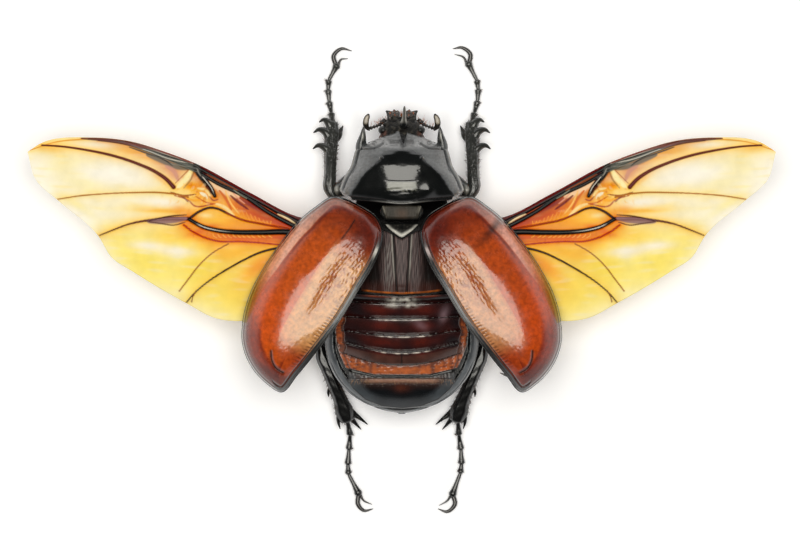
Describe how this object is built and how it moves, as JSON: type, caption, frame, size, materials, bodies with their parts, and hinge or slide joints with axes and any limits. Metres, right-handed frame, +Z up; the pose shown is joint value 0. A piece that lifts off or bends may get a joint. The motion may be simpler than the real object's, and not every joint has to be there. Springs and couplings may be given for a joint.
{
  "type": "five-horned rhinoceros beetle, spread specimen",
  "caption": "Life-size spread rhinoceros beetle lying on its belly, wing covers and hind wings open, legs stretched fore and aft.",
  "frame": {"origin": "on the floor under the middle of the spread insect's bounding box", "axes": "+Y towards the head, +X to the insect's right wing, +Z up"},
  "size_m": [0.1344, 0.0848, 0.0194],
  "materials": {
    "black_cuticle": "polished black cuticle",
    "chestnut_cuticle": "polished chestnut cuticle",
    "brown_cuticle": "striated dark brown cuticle",
    "tergite_cuticle": "satin red-brown cuticle",
    "wing_membrane": "amber wing membrane with dark veins",
    "eye_lens": "glossy dark eye",
    "bristle": "red-brown bristle"
  },
  "bodies": {
    "root": {"abdomen": "black_cuticle", "antenna_left": "black_cuticle", "antenna_right": "black_cuticle", "claws_fore_left": "black_cuticle", "claws_fore_right": "black_cuticle", "claws_hind_left": "black_cuticle", "claws_hind_right": "black_cuticle", "claws_middle_left": "black_cuticle", "claws_middle_right": "black_cuticle", "elytron_left": "chestnut_cuticle", "elytron_right": "chestnut_cuticle", "eye_left": "eye_lens", "eye_right": "eye_lens", "femur_fore_left": "black_cuticle", "femur_fore_right": "black_cuticle", "femur_hind_left": "black_cuticle", "femur_hind_right": "black_cuticle", "femur_middle_left": "black_cuticle", "femur_middle_right": "black_cuticle", "head": "black_cuticle", "head_horn": "black_cuticle", "hindwing_left": "wing_membrane", "hindwing_right": "wing_membrane", "horn_front_left": "black_cuticle", "horn_front_right": "black_cuticle", "horn_upper_left": "black_cuticle", "horn_upper_right": "black_cuticle", "mandible_left": "black_cuticle", "mandible_right": "black_cuticle", "mesonotum": "brown_cuticle", "metanotum": "brown_cuticle", "palps": "bristle", "pronotum": "black_cuticle", "prosternum": "black_cuticle", "pygidium": "black_cuticle", "scutellum": "black_cuticle", "sternum": "black_cuticle", "tarsus_fore_left": "black_cuticle", "tarsus_fore_right": "black_cuticle", "tarsus_hind_left": "black_cuticle", "tarsus_hind_right": "black_cuticle", "tarsus_middle_left": "black_cuticle", "tarsus_middle_right": "black_cuticle", "tergites": "tergite_cuticle", "tibia_fore_left": "black_cuticle", "tibia_fore_right": "black_cuticle", "tibia_hind_left": "black_cuticle", "tibia_hind_right": "black_cuticle", "tibia_middle_left": "black_cuticle", "tibia_middle_right": "black_cuticle"}
  },
  "joints": []
}
